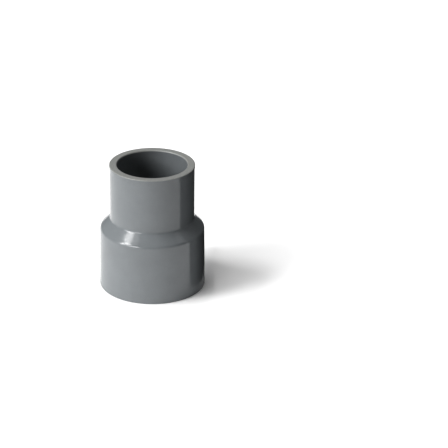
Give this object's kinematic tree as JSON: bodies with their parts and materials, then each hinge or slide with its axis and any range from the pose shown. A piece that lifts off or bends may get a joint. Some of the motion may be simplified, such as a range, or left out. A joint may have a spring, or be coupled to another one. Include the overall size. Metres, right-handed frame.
{
  "type": "concentric reducer",
  "caption": "Grey moulded PVC concentric reducer: a wide pipe socket and a narrower one on one axis, joined by a short conical shoulder, with internal pipe stops.",
  "frame": {"origin": "centre of the large end's face, which the fitting stands on", "axes": "+Z along the pipe axis from the large socket to the small one; X and Y are free, as the part is round, and X is square to the camera's line of sight"},
  "size_m": [0.0764, 0.0764, 0.092],
  "materials": {
    "grey_pvc": "satin moulded barrels, matt machined end faces"
  },
  "bodies": {
    "root": {"reducer_body": "grey_pvc"}
  },
  "joints": []
}
